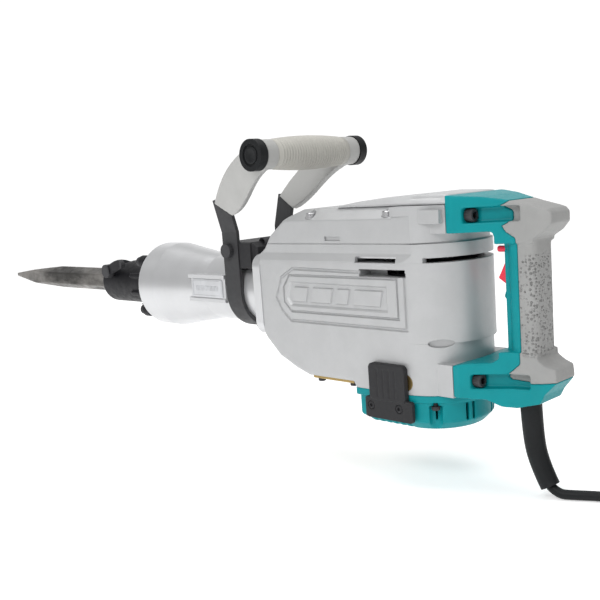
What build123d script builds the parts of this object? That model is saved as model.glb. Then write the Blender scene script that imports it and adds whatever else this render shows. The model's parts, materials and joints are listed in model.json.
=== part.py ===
"""Electric demolition breaker: silver castings, teal motor end cover and D-handle, side handle and bull point.

Millimetres. The tool axis is the X axis, the chisel points along -X and +Z is up. The origin is the middle of the
rear grip, on the tool axis. Stations along X are counted from FACE, the front of the barrel's flange.
"""

import os
from math import acos, cos, pi, radians, sin, tan

from build123d import *

os.makedirs("parts", exist_ok=True)

# Body
FACE = -323.0  # front face of the barrel's flange
FLANGE_T = 12.0
HALF = 59.0  # half width of the body, and the radius of its round rear
MOTOR_X = FACE + 213.0
LEDGE_Z = -37.0  # the round rear steps in below this
SEAM_Z = 42.0  # joint between crankcase and gear cover
LIP_Z = 61.0  # the gear cover's rear steps in above this
SHOULDER_Z, ROOF_Z = 84.0, 97.0
BASE_Z = -89.0  # joint between crankcase and motor end cover
END_Z = -126.0
BAY_R = 50.0  # motor bay
BRACKET_X, BRACKET_HALF, BRACKET_BOLT_Y = FACE + 263.0, 48.0, 34.0  # where the D-handle is bolted on

# Barrel, nose and hammer train
BARREL_X, BARREL_R, NECK_R = FACE - 237.0, 55.5, 41.0
LINER_R, BORE_R = 37.0, 32.5
RUN = 0.05  # radial clearance of a sliding fit
NOSE_R = 30.0
HEX = 30.0  # chisel across flats
CHISEL_TIP_X, CHISEL_LENGTH = FACE - 671.0, 410.0
PIN_X, PIN_Z, PIN_R = FACE - 338.0, 18.0, 7.0  # tool retainer
RETAIN_TRAVEL = 30.0  # how far the chisel slides forward in its retainer

# Gear train: motor pinion, idler and crank gear, on upright axes in line
MODULE_1, PINION_1, GEAR_1 = 1.5, 10, 46
MODULE_2, PINION_2, GEAR_2 = 2.25, 12, 42
IDLER_X = MOTOR_X - MODULE_1 * (PINION_1 + GEAR_1) / 2
CRANK_X = IDLER_X - MODULE_2 * (PINION_2 + GEAR_2) / 2
STAGE_1_Z, STAGE_1_T = 73.0, 10.0
STAGE_2_Z, STAGE_2_T = 59.5, 11.0
PLATE_Z, PLATE_T = 46.0, 12.0  # bearing plate under the gears
CRANK_THROW, ROD_LENGTH, ROD_T = 15.0, 88.0, 16.0
SHAFT_R = 10.0  # crankshaft

# Side handle
BAND_X, BAND_W, BAND_T = FACE - 65.5, 26.5, 4.5
BAND_Y = 43.75  # middle of the band's thickness, on the legs
BEND_Z, SPLAY = 73.0, 15.1
BOLT_X, BOLT_Z = FACE - 55.0, 51.0
SIDE_GRIP_X, SIDE_GRIP_Z = FACE + 40.0, 159.0
SIDE_GRIP_HALF, RIBBED_HALF = 75.0, 57.0

# Rear handle
GRIP_X0, GRIP_X1, GRIP_HALF = FACE + 308.0, FACE + 338.0, 19.0
TRIGGER_X, TRIGGER_Z = FACE + 314.5, 40.0

# Cord
CORD_D = 9.5
GROUND_Z = -188.0  # the surface that the cord lies on
TURNS_R = [66.25, 56.75, 47.25, 37.75]  # the coil's turns, two layers of each
COIL_X, COIL_Y = FACE + 442.0, 92.75


def write(piece, name):
    """Labels a finished piece and writes its STEP file."""
    piece.part.label = name
    export_step(piece.part, f"parts/{name}.step")


# ---------------------------------------------------------------- shapes used more than once


def side_profile(points):
    """A closed outline in the XZ plane, from pairs of station and height."""
    with BuildSketch(Plane.XZ, mode=Mode.PRIVATE) as profile:
        with BuildLine():
            Polyline(*[(FACE + x, z) for x, z in points], close=True)
        make_face()
    return profile.sketch


def slab(points, half):
    """A side profile with its width, the same on both sides of the XZ plane."""
    with BuildPart(mode=Mode.PRIVATE) as solid:
        extrude(side_profile(points), amount=half, both=True)
    return solid.part


def body_prism(z0, z1, inset=0.0, front=FLANGE_T, rear=HALF):
    """Straight sides and a rounded rear, seen from above, between two heights."""
    x0, half = FACE + front + inset, HALF - inset
    with BuildPart(mode=Mode.PRIVATE) as solid:
        with BuildSketch(Plane.XY.offset(z0)):
            with Locations(((x0 + MOTOR_X) / 2, 0)):
                Rectangle(MOTOR_X - x0, 2 * half)
            with Locations((MOTOR_X, 0)):
                Ellipse(rear - inset, half)
        extrude(amount=z1 - z0)
    return solid.part


def block(x0, x1, half, z0, z1):
    """A block between two stations and two heights, the same on both sides of the XZ plane."""
    return slab([(x0, z0), (x1, z0), (x1, z1), (x0, z1)], half)


def turned_x(points):
    """A solid of revolution about the tool axis, from pairs of station and radius."""
    with BuildPart(mode=Mode.PRIVATE) as solid:
        with BuildSketch(Plane.XZ):
            with BuildLine():
                Polyline(*[(FACE + x, r) for x, r in points], close=True)
            make_face()
        revolve(axis=Axis.X)
    return solid.part


def tube_x(x0, x1, radius, bore):
    return turned_x([(x0, bore), (x1, bore), (x1, radius), (x0, radius)])


def ring_z(x, z0, z1, radius, bore=0.0):
    """An upright cylinder or ring about an axis at x."""
    with BuildPart(mode=Mode.PRIVATE) as solid:
        with BuildSketch(Plane.XY.offset(z0)):
            with Locations((x, 0)):
                Circle(radius)
                if bore:
                    Circle(bore, mode=Mode.SUBTRACT)
        extrude(amount=z1 - z0)
    return solid.part


def rod_y(x, z, radius, y0, y1):
    """A cylinder across the tool, between two positions in Y."""
    with BuildPart(mode=Mode.PRIVATE) as solid:
        with BuildSketch(Plane.XZ.offset(-y1)):
            with Locations((x, z)):
                Circle(radius)
        extrude(amount=y1 - y0)
    return solid.part


def gear(x, z0, thickness, teeth, module, bore, turned=0.0, pressure=25.0, backlash=0.16):
    """A spur gear with shortened involute teeth, so that its pinion isn't undercut."""
    pitch = module * teeth / 2
    base, tip, root = pitch * cos(radians(pressure)), pitch + 0.8 * module, pitch - 1.05 * module

    def involute(radius):
        angle = acos(min(1.0, base / radius))
        return tan(angle) - angle

    half_tooth = (pi / 2 - backlash / module) / teeth + involute(pitch)
    start = max(base, root + 0.02)

    def flank(radius, sign):
        angle = half_tooth - involute(radius)
        return (radius * cos(angle), sign * radius * sin(angle))

    middle, foot = (start + tip) / 2, (root * 0.9, root * 0.9 * tan(half_tooth))
    with BuildSketch(mode=Mode.PRIVATE) as tooth:
        with BuildLine():
            ThreePointArc(flank(start, -1), flank(middle, -1), flank(tip, -1))
            Line(flank(tip, -1), flank(tip, 1))
            ThreePointArc(flank(tip, 1), flank(middle, 1), flank(start, 1))
            Polyline(flank(start, 1), foot, (foot[0], -foot[1]), flank(start, -1))
        make_face()
    with BuildPart(mode=Mode.PRIVATE) as solid:
        with BuildSketch(Plane.XY.offset(z0)):
            with Locations((x, 0)):
                Circle(root + 0.02)
                with PolarLocations(0, teeth, start_angle=turned):
                    add(tooth.sketch)
            if bore:
                with Locations((x, 0)):
                    Circle(bore, mode=Mode.SUBTRACT)
        extrude(amount=thickness)
    return solid.part


def screw(head_r, head_h, shank_r, shank, socket):
    """A socket head screw along +Z: its head stands on the XY plane and its shank goes down."""
    with BuildPart(mode=Mode.PRIVATE) as one:
        Cylinder(head_r, head_h, align=(Align.CENTER, Align.CENTER, Align.MIN))
        chamfer(one.edges().filter_by(GeomType.CIRCLE).sort_by(Axis.Z)[-1], head_r * 0.12)
        Cylinder(shank_r, shank, align=(Align.CENTER, Align.CENTER, Align.MAX))
        with BuildSketch(Plane.XY.offset(head_h)):
            RegularPolygon(socket / 2, 6, major_radius=False)
        extrude(amount=-head_h * 0.6, mode=Mode.SUBTRACT)
    return one.part


def screws(name, piece, places, normal):
    """One node of equal screws, each placed at a point with its head towards the normal."""
    with BuildPart() as group:
        for place in places:
            with Locations(Plane(origin=place, z_dir=normal)):
                add(piece)
    write(group, name)


def both_sides(solid):
    """A solid and its mirror image across the XZ plane."""
    with BuildPart(mode=Mode.PRIVATE) as pair:
        add(solid)
        mirror(about=Plane.XZ)
    return pair.part


# ---------------------------------------------------------------- crankcase

FLANGE_BOLTS = [(FACE, y, z) for y in (-50, 50) for z in (-33, 35)]
CASE_SIDE = [(12, -44), (14, -47), (34, -66), (60, -78), (78, -84), (143, -84), (146, -89), (273, -89), (273, 42),
             (12, 42)]
CHAMBER = [(62, -56), (82, -74), (152, -74), (152, 43), (62, 43)]
PANEL = [(34, 1), (44, 25), (64, 36), (221, 33), (221, -26), (56, -26), (43, -15)]
FRAME = [(47, 13), (58, 28), (211, 28), (211, -15), (58, -15), (47, -4)]
INNER = [(52, 1), (58, 20), (196, 19), (196, -8), (58, -8)]
BRUSH_Z = -77.0
OIL_SCREWS = [(x, y) for x in (88, 135) for y in (-48, 48)]
GROOVE_DEPTH, POCKET_DEPTH = 2.0, 2.2
CAST_R, CASE_R = 2.5, 4.0  # rounding of the gear cover's edges and of the crankcase's lower ones
RECESS_ANGLE, RECESS_R = 39.0, 53.5  # oval recesses at the rear ledge


def sloped_block(points, y0, inset0, y1, inset1):
    """A block that stands out sideways between two positions in Y, its outline inset at each by its own amount."""
    with BuildPart(mode=Mode.PRIVATE) as sloped:
        for y, inset in ((y0, inset0), (y1, inset1)):
            with BuildSketch(Plane.XZ.offset(y)):
                offset(side_profile(points), amount=-inset, kind=Kind.INTERSECTION)
        loft(ruled=True)
    return sloped.part


SKIN = HALF + 0.01  # just outside the side faces, so that cuts break through them


def outline_groove(points, width, depth):
    """A groove with sloping walls that follows a closed outline on the crankcase's sides."""
    outside = sloped_block(points, HALF - depth, 0.3 * width, SKIN, 0.01)
    inside = sloped_block(points, HALF - depth, 0.7 * width, SKIN, width)
    return both_sides(outside - inside)


def side_pocket(points, depth):
    """A pocket with sloping walls in the crankcase's sides."""
    return both_sides(sloped_block(points, HALF - depth, depth, SKIN, 0.01))


def side_bar(x0, x1, z0, z1):
    """A raised slanting bar in the side pocket, on both sides."""
    slant = (z1 - z0) * 0.25
    outline = [(x0, z0), (x1, z0), (x1 + slant, z1), (x0 + slant, z1)]
    return both_sides(sloped_block(outline, HALF - POCKET_DEPTH - 0.1, 0.01, HALF - 0.4, 1.0))


with BuildPart() as crankcase:
    add(slab(CASE_SIDE, HALF))
    add(body_prism(BASE_Z, LEDGE_Z, rear=HALF - 4) + body_prism(LEDGE_Z, SEAM_Z), mode=Mode.INTERSECT)
    lower_edges = crankcase.edges().filter_by_position(Axis.Z, BASE_Z + 0.5, -43).filter_by_position(
        Axis.X, FACE, FACE + 146)
    fillet([e for e in lower_edges if e.bounding_box().size.Y < 0.01], CASE_R)
    add(block(214, 263, BRACKET_HALF, BASE_Z, -57))
    add(turned_x([(11, 0), (62, 0), (62, LINER_R), (11, LINER_R)]), mode=Mode.SUBTRACT)
    add(slab(CHAMBER, BAY_R), mode=Mode.SUBTRACT)
    add(ring_z(MOTOR_X, BASE_Z - 1, SEAM_Z + 1, BAY_R), mode=Mode.SUBTRACT)
    # Oil opening underneath, brush holes, cooling slots and screw holes
    add(block(90, 130, 30, -85, -73), mode=Mode.SUBTRACT)
    add(rod_y(MOTOR_X, BRUSH_Z, 9.0, -HALF - 8, HALF + 8), mode=Mode.SUBTRACT)
    add(both_sides(block(161, 220, HALF + 1, 28, 35.6) - block(160, 221, 40, 27, 37)), mode=Mode.SUBTRACT)
    for x, y in OIL_SCREWS:
        with Locations((FACE + x, y, BASE_Z)):
            Cylinder(2.1, 28, mode=Mode.SUBTRACT)
    for place in FLANGE_BOLTS:
        with Locations(Plane(origin=place, z_dir=(1, 0, 0))):
            Cylinder(4, 80, mode=Mode.SUBTRACT)
    for y in (-BRACKET_BOLT_Y, BRACKET_BOLT_Y):
        with Locations(Plane(origin=(BRACKET_X, y, -72), z_dir=(1, 0, 0))):
            Cylinder(4, 44, mode=Mode.SUBTRACT)
    for side in (-1, 1):
        across, along = sin(radians(RECESS_ANGLE)), side * cos(radians(RECESS_ANGLE))
        with BuildSketch(Plane(origin=(MOTOR_X + RECESS_R * across, RECESS_R * along, LEDGE_Z),
                               x_dir=(along, -across, 0), z_dir=(across, along, 0))):
            Ellipse(13, 4.2)
        extrude(amount=12, mode=Mode.SUBTRACT)
    # Ribs and panels on the sides
    add(outline_groove(PANEL, 4.0, GROOVE_DEPTH), mode=Mode.SUBTRACT)
    add(outline_groove(FRAME, 3.0, GROOVE_DEPTH), mode=Mode.SUBTRACT)
    add(side_pocket(INNER, POCKET_DEPTH), mode=Mode.SUBTRACT)
    for x0, x1 in ((60, 82), (88, 118), (124, 142), (148, 186)):
        add(side_bar(x0, x1, -3, 14))
write(crankcase, "crankcase")

# ---------------------------------------------------------------- gear cover and the plate under the gears

COVER_SIDE = [(12, 42), (12, 50), (20, 56), (30, 70), (56, 89), (73, 97), (264, 97), (264, 42)]
COVER_SCREWS = [(FACE + x, y, ROOF_Z - 9.5) for x in (90, 196) for y in (-50.5, 50.5)]

LOWER_CAVITY = [(28, 41), (28, 60), (58, 79), (273, 79), (273, 41)]
UPPER_CAVITY = [(58, 78.5), (72, 91), (273, 91), (273, 78.5)]
BAND_TOP_Z, BAND_IN = SEAM_Z + 9, 2.0  # the bright band over the seam leans inwards
SIDE_CUTS = {  # outlines across the tool, from the front to a length
    "roof": ([(HALF + 1, SHOULDER_Z - 0.9), (HALF + 1, ROOF_Z + 1), (43, ROOF_Z + 1), (43.5, ROOF_Z)], 195),
    "band": ([(SKIN, SEAM_Z + 1), (HALF + 1, SEAM_Z + 1), (HALF + 1, SHOULDER_Z + 4), (HALF - BAND_IN, SHOULDER_Z + 4),
              (HALF - BAND_IN, BAND_TOP_Z)], 230),
}

with BuildPart() as gear_cover:
    add(slab(COVER_SIDE, HALF) + slab([(263, 42), (273, 42), (273, 90), (263, 90)], HALF))
    add(body_prism(SEAM_Z, LIP_Z) + body_prism(LIP_Z, ROOF_Z, rear=HALF - 4), mode=Mode.INTERSECT)
    for outline, length in SIDE_CUTS.values():
        with BuildSketch(Plane.YZ.offset(FACE + 10)):
            with BuildLine():
                Polyline(*outline, close=True)
            make_face()
            mirror(about=Plane.YZ)
        extrude(amount=length, mode=Mode.SUBTRACT)
    upper_edges = gear_cover.edges().filter_by_position(Axis.Z, SEAM_Z + 0.5, ROOF_Z + 1).filter_by_position(
        Axis.X, FACE + 12.5, FACE + 200)
    fillet([e for e in upper_edges if abs(e.center().Y) > 40], CAST_R)
    add(block(214, 263, BRACKET_HALF, 70, ROOF_Z))
    add(both_sides(block(203, 260, 54, SHOULDER_Z - 4, 93) - block(202, 261, 42, 70, 100)))
    for outline, half in ((LOWER_CAVITY, HALF - 5), (UPPER_CAVITY, 41)):
        add(slab(outline, half) & body_prism(SEAM_Z - 2, 92, inset=5, rear=HALF - 4), mode=Mode.SUBTRACT)
    add(ring_z(IDLER_X, 84, 91.5, 20.5, 16))
    # Groove round the cover, cooling slots at the seam, screw seats and the small side slot
    add(body_prism(LIP_Z - 0.6, LIP_Z + 0.6, front=0, rear=HALF + 1)
        - body_prism(LIP_Z - 1, LIP_Z + 1, inset=BAND_IN + 0.9), mode=Mode.SUBTRACT)
    add(block(156, 209, HALF + 1, 41.5, 48), mode=Mode.SUBTRACT)
    add(slab([(238, 41), (275, 41), (275, 47), (238, 47)], HALF + 1) - body_prism(40, 49, inset=9),
        mode=Mode.SUBTRACT)
    add(both_sides(block(114, 136, HALF + 1, 64, 68.5) - block(113, 137, HALF - 4, 60, 70)), mode=Mode.SUBTRACT)
    for x, y, z in COVER_SCREWS:
        with Locations((x, y, z + 10)):
            Cylinder(6, 20, mode=Mode.SUBTRACT)
            Cylinder(3, 60, mode=Mode.SUBTRACT)
    for y in (-BRACKET_BOLT_Y, BRACKET_BOLT_Y):
        with Locations(Plane(origin=(BRACKET_X, y, 86), z_dir=(1, 0, 0))):
            Cylinder(4, 44, mode=Mode.SUBTRACT)
write(gear_cover, "gear_cover")

FAIRING = [(122, 97.2), (126, 99.5), (152, 103), (186, 106), (224, 108), (257, 107), (262.8, 106), (262.8, 97.2)]
with BuildPart() as top_fairing:
    add(slab(FAIRING, 46))
    with BuildSketch(Plane.YZ.offset(FACE + 120)):
        with BuildLine():
            Polyline((-46, 96), (46, 96), (46, 99), (37, 109), (-37, 109), (-46, 99), close=True)
        make_face()
    extrude(amount=145, mode=Mode.INTERSECT)
    add(slab([(130, 97), (134, 99), (222, 104), (257, 104), (257, 97)], 42), mode=Mode.SUBTRACT)
write(top_fairing, "top_fairing")

with BuildPart() as gear_plate:
    add(body_prism(PLATE_Z, PLATE_Z + PLATE_T, inset=5.3, front=25, rear=HALF - 4))
    add(ring_z(CRANK_X, 26, PLATE_Z + 1, 27))
    for z0, z1, radius in ((25, 40, 21), (39, 47, 17), (46, 59, 21)):
        add(ring_z(CRANK_X, z0, z1, radius), mode=Mode.SUBTRACT)
    add(ring_z(IDLER_X, PLATE_Z + 1.5, 59, 16), mode=Mode.SUBTRACT)
    add(ring_z(MOTOR_X, PLATE_Z + 1.5, 59, 16), mode=Mode.SUBTRACT)
    add(ring_z(MOTOR_X, 45, 59, 9), mode=Mode.SUBTRACT)
write(gear_plate, "gear_plate")

screws("gear_cover_screws", screw(5.5, 6, 2.9, 24, 5), COVER_SCREWS, (0, 0, 1))

# ---------------------------------------------------------------- barrel, nose and the hammer train

with BuildPart() as barrel:
    add(turned_x([(-237, 0), (-237, 54), (-235.5, 55.5), (-205, 55.5), (-168, 49), (-130, 43), (-118, NECK_R),
                  (6, NECK_R), (6, 0)]))
    with BuildSketch(Plane.YZ.offset(FACE)):
        with Locations((0, 2)):
            RectangleRounded(120, 92, 14)
    extrude(amount=FLANGE_T)
    # Flats along the sides of the neck carry the label plates
    for x0, half, z0, z1 in ((-136, 43.7, -13, 20), (-140, 45.4, 16, 20.5), (-140, 45.4, -13.5, -9)):
        add(both_sides(block(x0, -70, half, z0, z1) - block(-151, -69, 20, -21, 27)))
    add(turned_x([(-200, 0), (-200, LINER_R), (13, LINER_R), (13, 0)]), mode=Mode.SUBTRACT)
    add(turned_x([(-238, 0), (-238, 22), (-199, 22), (-199, 0)]), mode=Mode.SUBTRACT)
    for place in FLANGE_BOLTS:
        with Locations(Plane(origin=place, z_dir=(1, 0, 0))):
            Cylinder(4, 40, mode=Mode.SUBTRACT)
write(barrel, "barrel")

screws("flange_bolts", screw(5.5, 6, 3.9, 34, 5), FLANGE_BOLTS, (-1, 0, 0))

with BuildPart() as label_plates:
    for sign in (-1, 1):
        with BuildSketch(Plane.XZ.offset(-sign * 43.8)):
            with Locations((FACE - 104, 3.5)):
                RectangleRounded(58, 22, 1.5)
        extrude(amount=-sign * 1.2)
write(label_plates, "label_plates")

NOSE_BOLT_R, NOSE_FLANGE = 47.0, 14.0
NOSE_BOLTS = [(BARREL_X - NOSE_FLANGE, NOSE_BOLT_R * cos(radians(a)), NOSE_BOLT_R * sin(radians(a)))
              for a in (48, 136, 224, 312)]
with BuildPart() as front_cover:
    add(turned_x([(-373, 0), (-373, 20), (-371, 22.5), (-366, 22.5), (-364, 28), (-361, NOSE_R), (-262, NOSE_R),
                  (-250, 41), (-238.5, 41), (-238.5, 0)]))
    for x, y, z in NOSE_BOLTS:
        with Locations(Plane(origin=(x, y, z), z_dir=(1, 0, 0))):
            Cylinder(9, NOSE_FLANGE - 1.5, align=(Align.CENTER, Align.CENTER, Align.MIN))
    for angle in range(0, 180, 45):
        with BuildSketch(Plane.YZ.offset(FACE - 290)):
            Rectangle(2 * NOSE_R + 9, 6, rotation=angle + 22.5)
        extrude(amount=45)
    add(turned_x([(-374, 0), (-374, 20), (-250, 20), (-250, 15.5), (-238, 15.5), (-238, 0)]), mode=Mode.SUBTRACT)
    add(rod_y(PIN_X, PIN_Z, PIN_R + RUN, -45, 45), mode=Mode.SUBTRACT)
    # Window over the chisel's retainer
    add(slab([(-352, 24), (-324, 24), (-318, 32), (-356, 32)], 14), mode=Mode.SUBTRACT)
    for x, y, z in NOSE_BOLTS:
        with Locations(Plane(origin=(x, y, z), z_dir=(1, 0, 0))):
            Cylinder(4, 60, mode=Mode.SUBTRACT)
    for x, y, z in NOSE_BOLTS:
        with Locations(Plane(origin=(x, y, z), z_dir=(-1, 0, 0))):
            Cylinder(7.5, 12, align=(Align.CENTER, Align.CENTER, Align.MIN), mode=Mode.SUBTRACT)
write(front_cover, "front_cover")

with BuildPart() as front_seal:
    add(tube_x(-238.5, -237, 53, 22))
    for x, y, z in NOSE_BOLTS:
        with Locations(Plane(origin=(x, y, z), z_dir=(1, 0, 0))):
            Cylinder(4, 60, mode=Mode.SUBTRACT)
write(front_seal, "front_seal")

screws("front_cover_bolts", screw(6.6, 8, 3.9, NOSE_FLANGE, 6), NOSE_BOLTS, (-1, 0, 0))

with BuildPart() as tool_sleeve:
    add(tube_x(-370, -251, 20, 5))
    with BuildSketch(Plane.YZ.offset(FACE - 371)):
        RegularPolygon(HEX / 2 + 0.3, 6, major_radius=False, rotation=90)
    extrude(amount=121, mode=Mode.SUBTRACT)
    add(rod_y(PIN_X, PIN_Z, PIN_R + RUN, -25, 25), mode=Mode.SUBTRACT)
write(tool_sleeve, "tool_sleeve")

with BuildPart() as cylinder_liner:
    add(tube_x(-200, 62, LINER_R, BORE_R))
write(cylinder_liner, "cylinder_liner")

with BuildPart() as chisel:
    with BuildSketch(Plane.YZ.offset(CHISEL_TIP_X)):
        RegularPolygon(HEX / 2, 6, major_radius=False, rotation=90)
    extrude(amount=CHISEL_LENGTH)
    # Bull point: four long faces drawn down to a blunt tip
    with BuildPart(mode=Mode.PRIVATE) as taper:
        for station, width, height in ((0, 5, 5), (70, 22, 21), (150, 36, 34), (CHISEL_LENGTH + 1, 36, 34)):
            with BuildSketch(Plane.YZ.offset(CHISEL_TIP_X + station)):
                Rectangle(width, height)
        loft(ruled=True)
    add(taper.part, mode=Mode.INTERSECT)
    # Notch for the retainer, as long as the chisel's travel
    add(block(PIN_X - FACE - 8, PIN_X - FACE + 8 + RETAIN_TRAVEL, 20, PIN_Z - PIN_R - 0.3, 20), mode=Mode.SUBTRACT)
write(chisel, "chisel")

with BuildPart() as retainer_lever:
    add(rod_y(PIN_X, PIN_Z, PIN_R, -38, 34))
    add(rod_y(PIN_X, PIN_Z, 9.5, -39.5, -31))
    add(rod_y(PIN_X, PIN_Z, 9.0, 30.5, 34))
    with BuildSketch(Plane.XZ.offset(31.5)):
        with Locations(Location((PIN_X + 17, PIN_Z + 5, 0), (0, 0, 16))):
            SlotOverall(46, 12)
    extrude(amount=6.5)
    # The flat that lets the chisel out when the lever is turned half round
    add(block(PIN_X - FACE - 10, PIN_X - FACE + 10, 14, PIN_Z + 3.5, PIN_Z + 12), mode=Mode.SUBTRACT)
write(retainer_lever, "retainer_lever")

with BuildPart() as beat_piece:
    add(turned_x([(-250, 0), (-250, 10), (-248, 12), (-228, 12), (-225, 21.95), (-170, 21.95), (-170, 0)]))
write(beat_piece, "beat_piece")

RAM_RING, PISTON_RING = (-84, -79), (-27.5, -23)
PISTON_R = BORE_R - RUN
with BuildPart() as ram:
    add(turned_x([(-152, 0), (-152, 13), (-150, 15), (-130, 17), (-126, PISTON_R), (-68, PISTON_R), (-68, 0)]))
    add(tube_x(*RAM_RING, 40, 29.5), mode=Mode.SUBTRACT)
write(ram, "ram")

with BuildPart() as piston:
    add(turned_x([(-30, 0), (-30, PISTON_R), (38, PISTON_R), (38, 29.6), (-20, 29.6), (-20, 0)]))
    add(tube_x(*PISTON_RING, 40, 30), mode=Mode.SUBTRACT)
write(piston, "piston")

for name, span, bore in (("ram_ring", RAM_RING, 29.5), ("piston_ring", PISTON_RING, 30)):
    with BuildPart() as ring:
        add(tube_x(*span, PISTON_R, bore))
    write(ring, name)

CRANK_PIN_X = CRANK_X - CRANK_THROW
WRIST_X = CRANK_PIN_X - ROD_LENGTH
with BuildPart() as connecting_rod:
    add(ring_z(CRANK_PIN_X, -ROD_T / 2, ROD_T / 2, 15))
    add(ring_z(WRIST_X, -ROD_T / 2, ROD_T / 2, 11))
    with BuildSketch(Plane.XY.offset(-ROD_T / 2 + 2)):
        with BuildLine():
            Polyline((WRIST_X, -7), (CRANK_PIN_X, -9), (CRANK_PIN_X, 9), (WRIST_X, 7), close=True)
        make_face()
    extrude(amount=ROD_T - 4)
    add(ring_z(CRANK_PIN_X, -9, 9, 8 + RUN), mode=Mode.SUBTRACT)
    add(ring_z(WRIST_X, -9, 9, 6), mode=Mode.SUBTRACT)
write(connecting_rod, "connecting_rod")

with BuildPart() as wrist_pin:
    add(ring_z(WRIST_X, -13, 13, 6))
write(wrist_pin, "wrist_pin")

# ---------------------------------------------------------------- crank, gears and motor

with BuildPart() as crankshaft:
    add(ring_z(CRANK_X, 10, 20, 26))
    add(ring_z(CRANK_PIN_X, -9.5, 11, 8))
    add(ring_z(CRANK_X, 19, 25.5, 13))
    add(ring_z(CRANK_X, 25, 74, SHAFT_R - RUN))
write(crankshaft, "crankshaft")

with BuildPart() as crank_gear:
    add(gear(CRANK_X, STAGE_2_Z, STAGE_2_T, GEAR_2, MODULE_2, SHAFT_R - RUN, turned=180 / GEAR_2))
    for angle in range(30, 390, 60):
        x, y = CRANK_X + 28 * cos(radians(angle)), 28 * sin(radians(angle))
        with Locations((x, y, STAGE_2_Z)):
            Cylinder(7, 40, mode=Mode.SUBTRACT)
write(crank_gear, "crank_gear")

with BuildPart() as idler_gear:
    add(ring_z(IDLER_X, PLATE_Z + 2, 90.5, 7 - RUN))
    add(gear(IDLER_X, STAGE_2_Z, STAGE_2_T, PINION_2, MODULE_2, 0))
    add(gear(IDLER_X, STAGE_1_Z, STAGE_1_T, GEAR_1, MODULE_1, 0, turned=180 / GEAR_1))
write(idler_gear, "idler_gear")

with BuildPart() as crank_bearings:
    for z0 in (28, PLATE_Z + 0.5):
        add(ring_z(CRANK_X, z0, z0 + 11.5, 21, SHAFT_R))
write(crank_bearings, "crank_bearings")

with BuildPart() as gear_bearings:
    for x, z0, z1 in ((IDLER_X, PLATE_Z + 1.5, 57.5), (IDLER_X, 84.2, 91), (MOTOR_X, PLATE_Z + 1.5, 57.5)):
        add(ring_z(x, z0, z1, 16, 7))
    add(ring_z(MOTOR_X, -114, -105, 13, 6))
write(gear_bearings, "gear_bearings")

CORE_R, CORE_Z0, CORE_Z1 = 30.0, -45.0, 12.0
with BuildPart() as motor_shaft:
    add(ring_z(MOTOR_X, -115, -100, 6 - RUN))
    add(ring_z(MOTOR_X, -101, 58, 7 - RUN))
    add(ring_z(MOTOR_X, 57, 84, 5.85))
    add(gear(MOTOR_X, STAGE_1_Z, STAGE_1_T, PINION_1, MODULE_1, 0))
write(motor_shaft, "motor_shaft")

with BuildPart() as armature_core:
    add(ring_z(MOTOR_X, CORE_Z0, CORE_Z1, CORE_R, 7 - RUN))
write(armature_core, "armature_core")

with BuildPart() as armature_windings:
    for z0, z1 in ((CORE_Z1, CORE_Z1 + 12), (CORE_Z0 - 12, CORE_Z0)):
        add(ring_z(MOTOR_X, z0, z1, 26.5, 7 - RUN))
write(armature_windings, "armature_windings")

with BuildPart() as commutator:
    add(ring_z(MOTOR_X, -91, -63, 16, 7 - RUN))
write(commutator, "commutator")

FAN_R, FAN_Z0, FAN_Z1 = 46.0, 27.0, 42.0
with BuildPart() as fan:
    add(ring_z(MOTOR_X, FAN_Z0, FAN_Z0 + 2.5, FAN_R, 7 - RUN))
    add(ring_z(MOTOR_X, FAN_Z0, FAN_Z1, 13, 7 - RUN))
    for blade in range(12):
        with BuildSketch(Plane.XY.offset(FAN_Z0 + 2)):
            with Locations(Location((MOTOR_X, 0, 0), (0, 0, 30 * blade))):
                with Locations(Location((31, 0, 0), (0, 0, 20))):
                    Rectangle(26, 2)
        extrude(amount=FAN_Z1 - FAN_Z0 - 2)
write(fan, "fan")

with BuildPart() as stator_core:
    add(ring_z(MOTOR_X, CORE_Z0, CORE_Z1, BAY_R - 0.1, CORE_R + 0.8))
write(stator_core, "stator_core")

with BuildPart() as field_coils:
    for z0, z1 in ((CORE_Z1, CORE_Z1 + 10), (CORE_Z0 - 10, CORE_Z0)):
        add(ring_z(MOTOR_X, z0, z1, 46, 33))
write(field_coils, "field_coils")

BRUSH_LEN, HOLDER_Y = 22.0, 20.0
with BuildPart() as brush_holders:
    add(both_sides(rod_y(MOTOR_X, BRUSH_Z, 8.8, HOLDER_Y, HALF - 0.5)))
    add(block(213 - 3.6, 213 + 3.6, HALF - 4, BRUSH_Z - 6.1, BRUSH_Z + 6.1), mode=Mode.SUBTRACT)
write(brush_holders, "brush_holders")

with BuildPart() as carbon_brushes:
    add(block(213 - 3.5, 213 + 3.5, 16.2 + BRUSH_LEN, BRUSH_Z - 6, BRUSH_Z + 6))
    add(block(205, 221, 16.2, BRUSH_Z - 9, BRUSH_Z + 9), mode=Mode.SUBTRACT)
write(carbon_brushes, "carbon_brushes")

# ---------------------------------------------------------------- covers underneath and at the sides

with BuildPart() as oil_gasket:
    add(block(82, 141, 55, -85, -84) - block(90, 130, 30, -86, -83))
    for x, y in OIL_SCREWS:
        with Locations((FACE + x, y, -85)):
            Cylinder(2.1, 20, mode=Mode.SUBTRACT)
write(oil_gasket, "oil_gasket")

with BuildPart() as oil_cover:
    add(block(82, 141, 55, -87, -85))
    chamfer(oil_cover.faces().sort_by(Axis.Z)[0].edges(), 0.6)
    for x, y in OIL_SCREWS:
        with Locations((FACE + x, y, -88)):
            Cylinder(2.1, 20, mode=Mode.SUBTRACT)
write(oil_cover, "oil_cover")

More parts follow.
